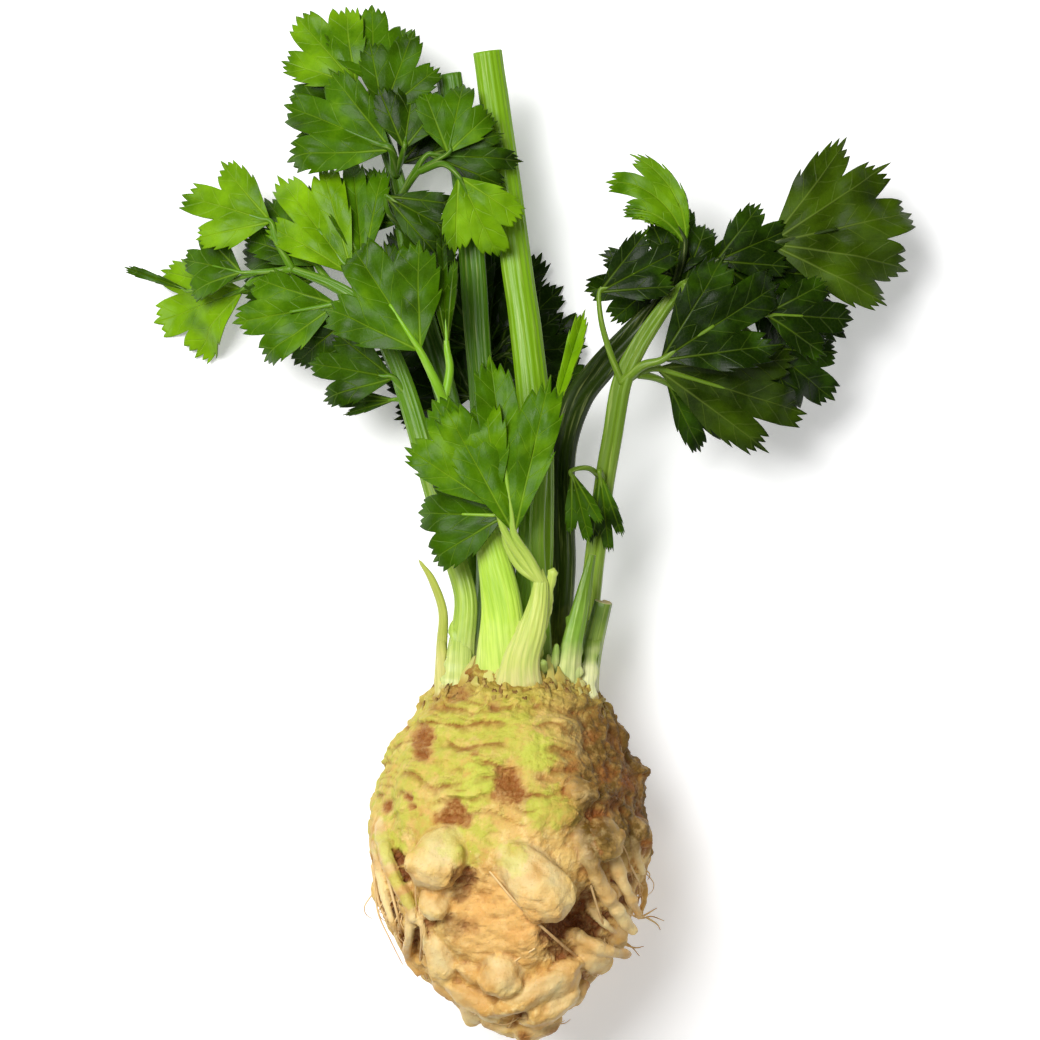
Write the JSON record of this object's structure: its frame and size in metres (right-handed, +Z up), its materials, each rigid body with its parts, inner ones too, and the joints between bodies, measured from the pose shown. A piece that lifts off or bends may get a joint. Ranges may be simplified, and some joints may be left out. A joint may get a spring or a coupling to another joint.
{
  "type": "celeriac root with leaves",
  "caption": "Whole celeriac plant lying on its side: a swollen knobbly root with stubby roots, leafy fronds, two long cut stalks and short stubs on its crown.",
  "frame": {"origin": "Centre of the flat spot under the swollen root, on the surface that the plant lies on.", "axes": "+Z up from the surface, +Y along the plant from the root's tip to its leaves, +X to the right when seen from above with the leaves away from the viewer."},
  "size_m": [0.3133, 0.3973, 0.1129],
  "materials": {
    "root_skin": "matte",
    "leaf_green": "satin",
    "stalk_green": "satin"
  },
  "bodies": {
    "root": {"celeriac_root": "root_skin", "middle_frond": "leaf_green", "front_frond": "leaf_green", "left_frond": "leaf_green", "top_frond": "leaf_green", "right_upper_frond": "leaf_green", "right_lower_frond": "leaf_green", "under_frond": "leaf_green", "folded_leaf": "leaf_green", "long_cut_stalk": "stalk_green", "second_cut_stalk": "stalk_green", "short_cut_stub": "stalk_green", "thin_side_stalk": "stalk_green", "young_stalk": "stalk_green", "under_stub": "stalk_green"}
  },
  "joints": []
}
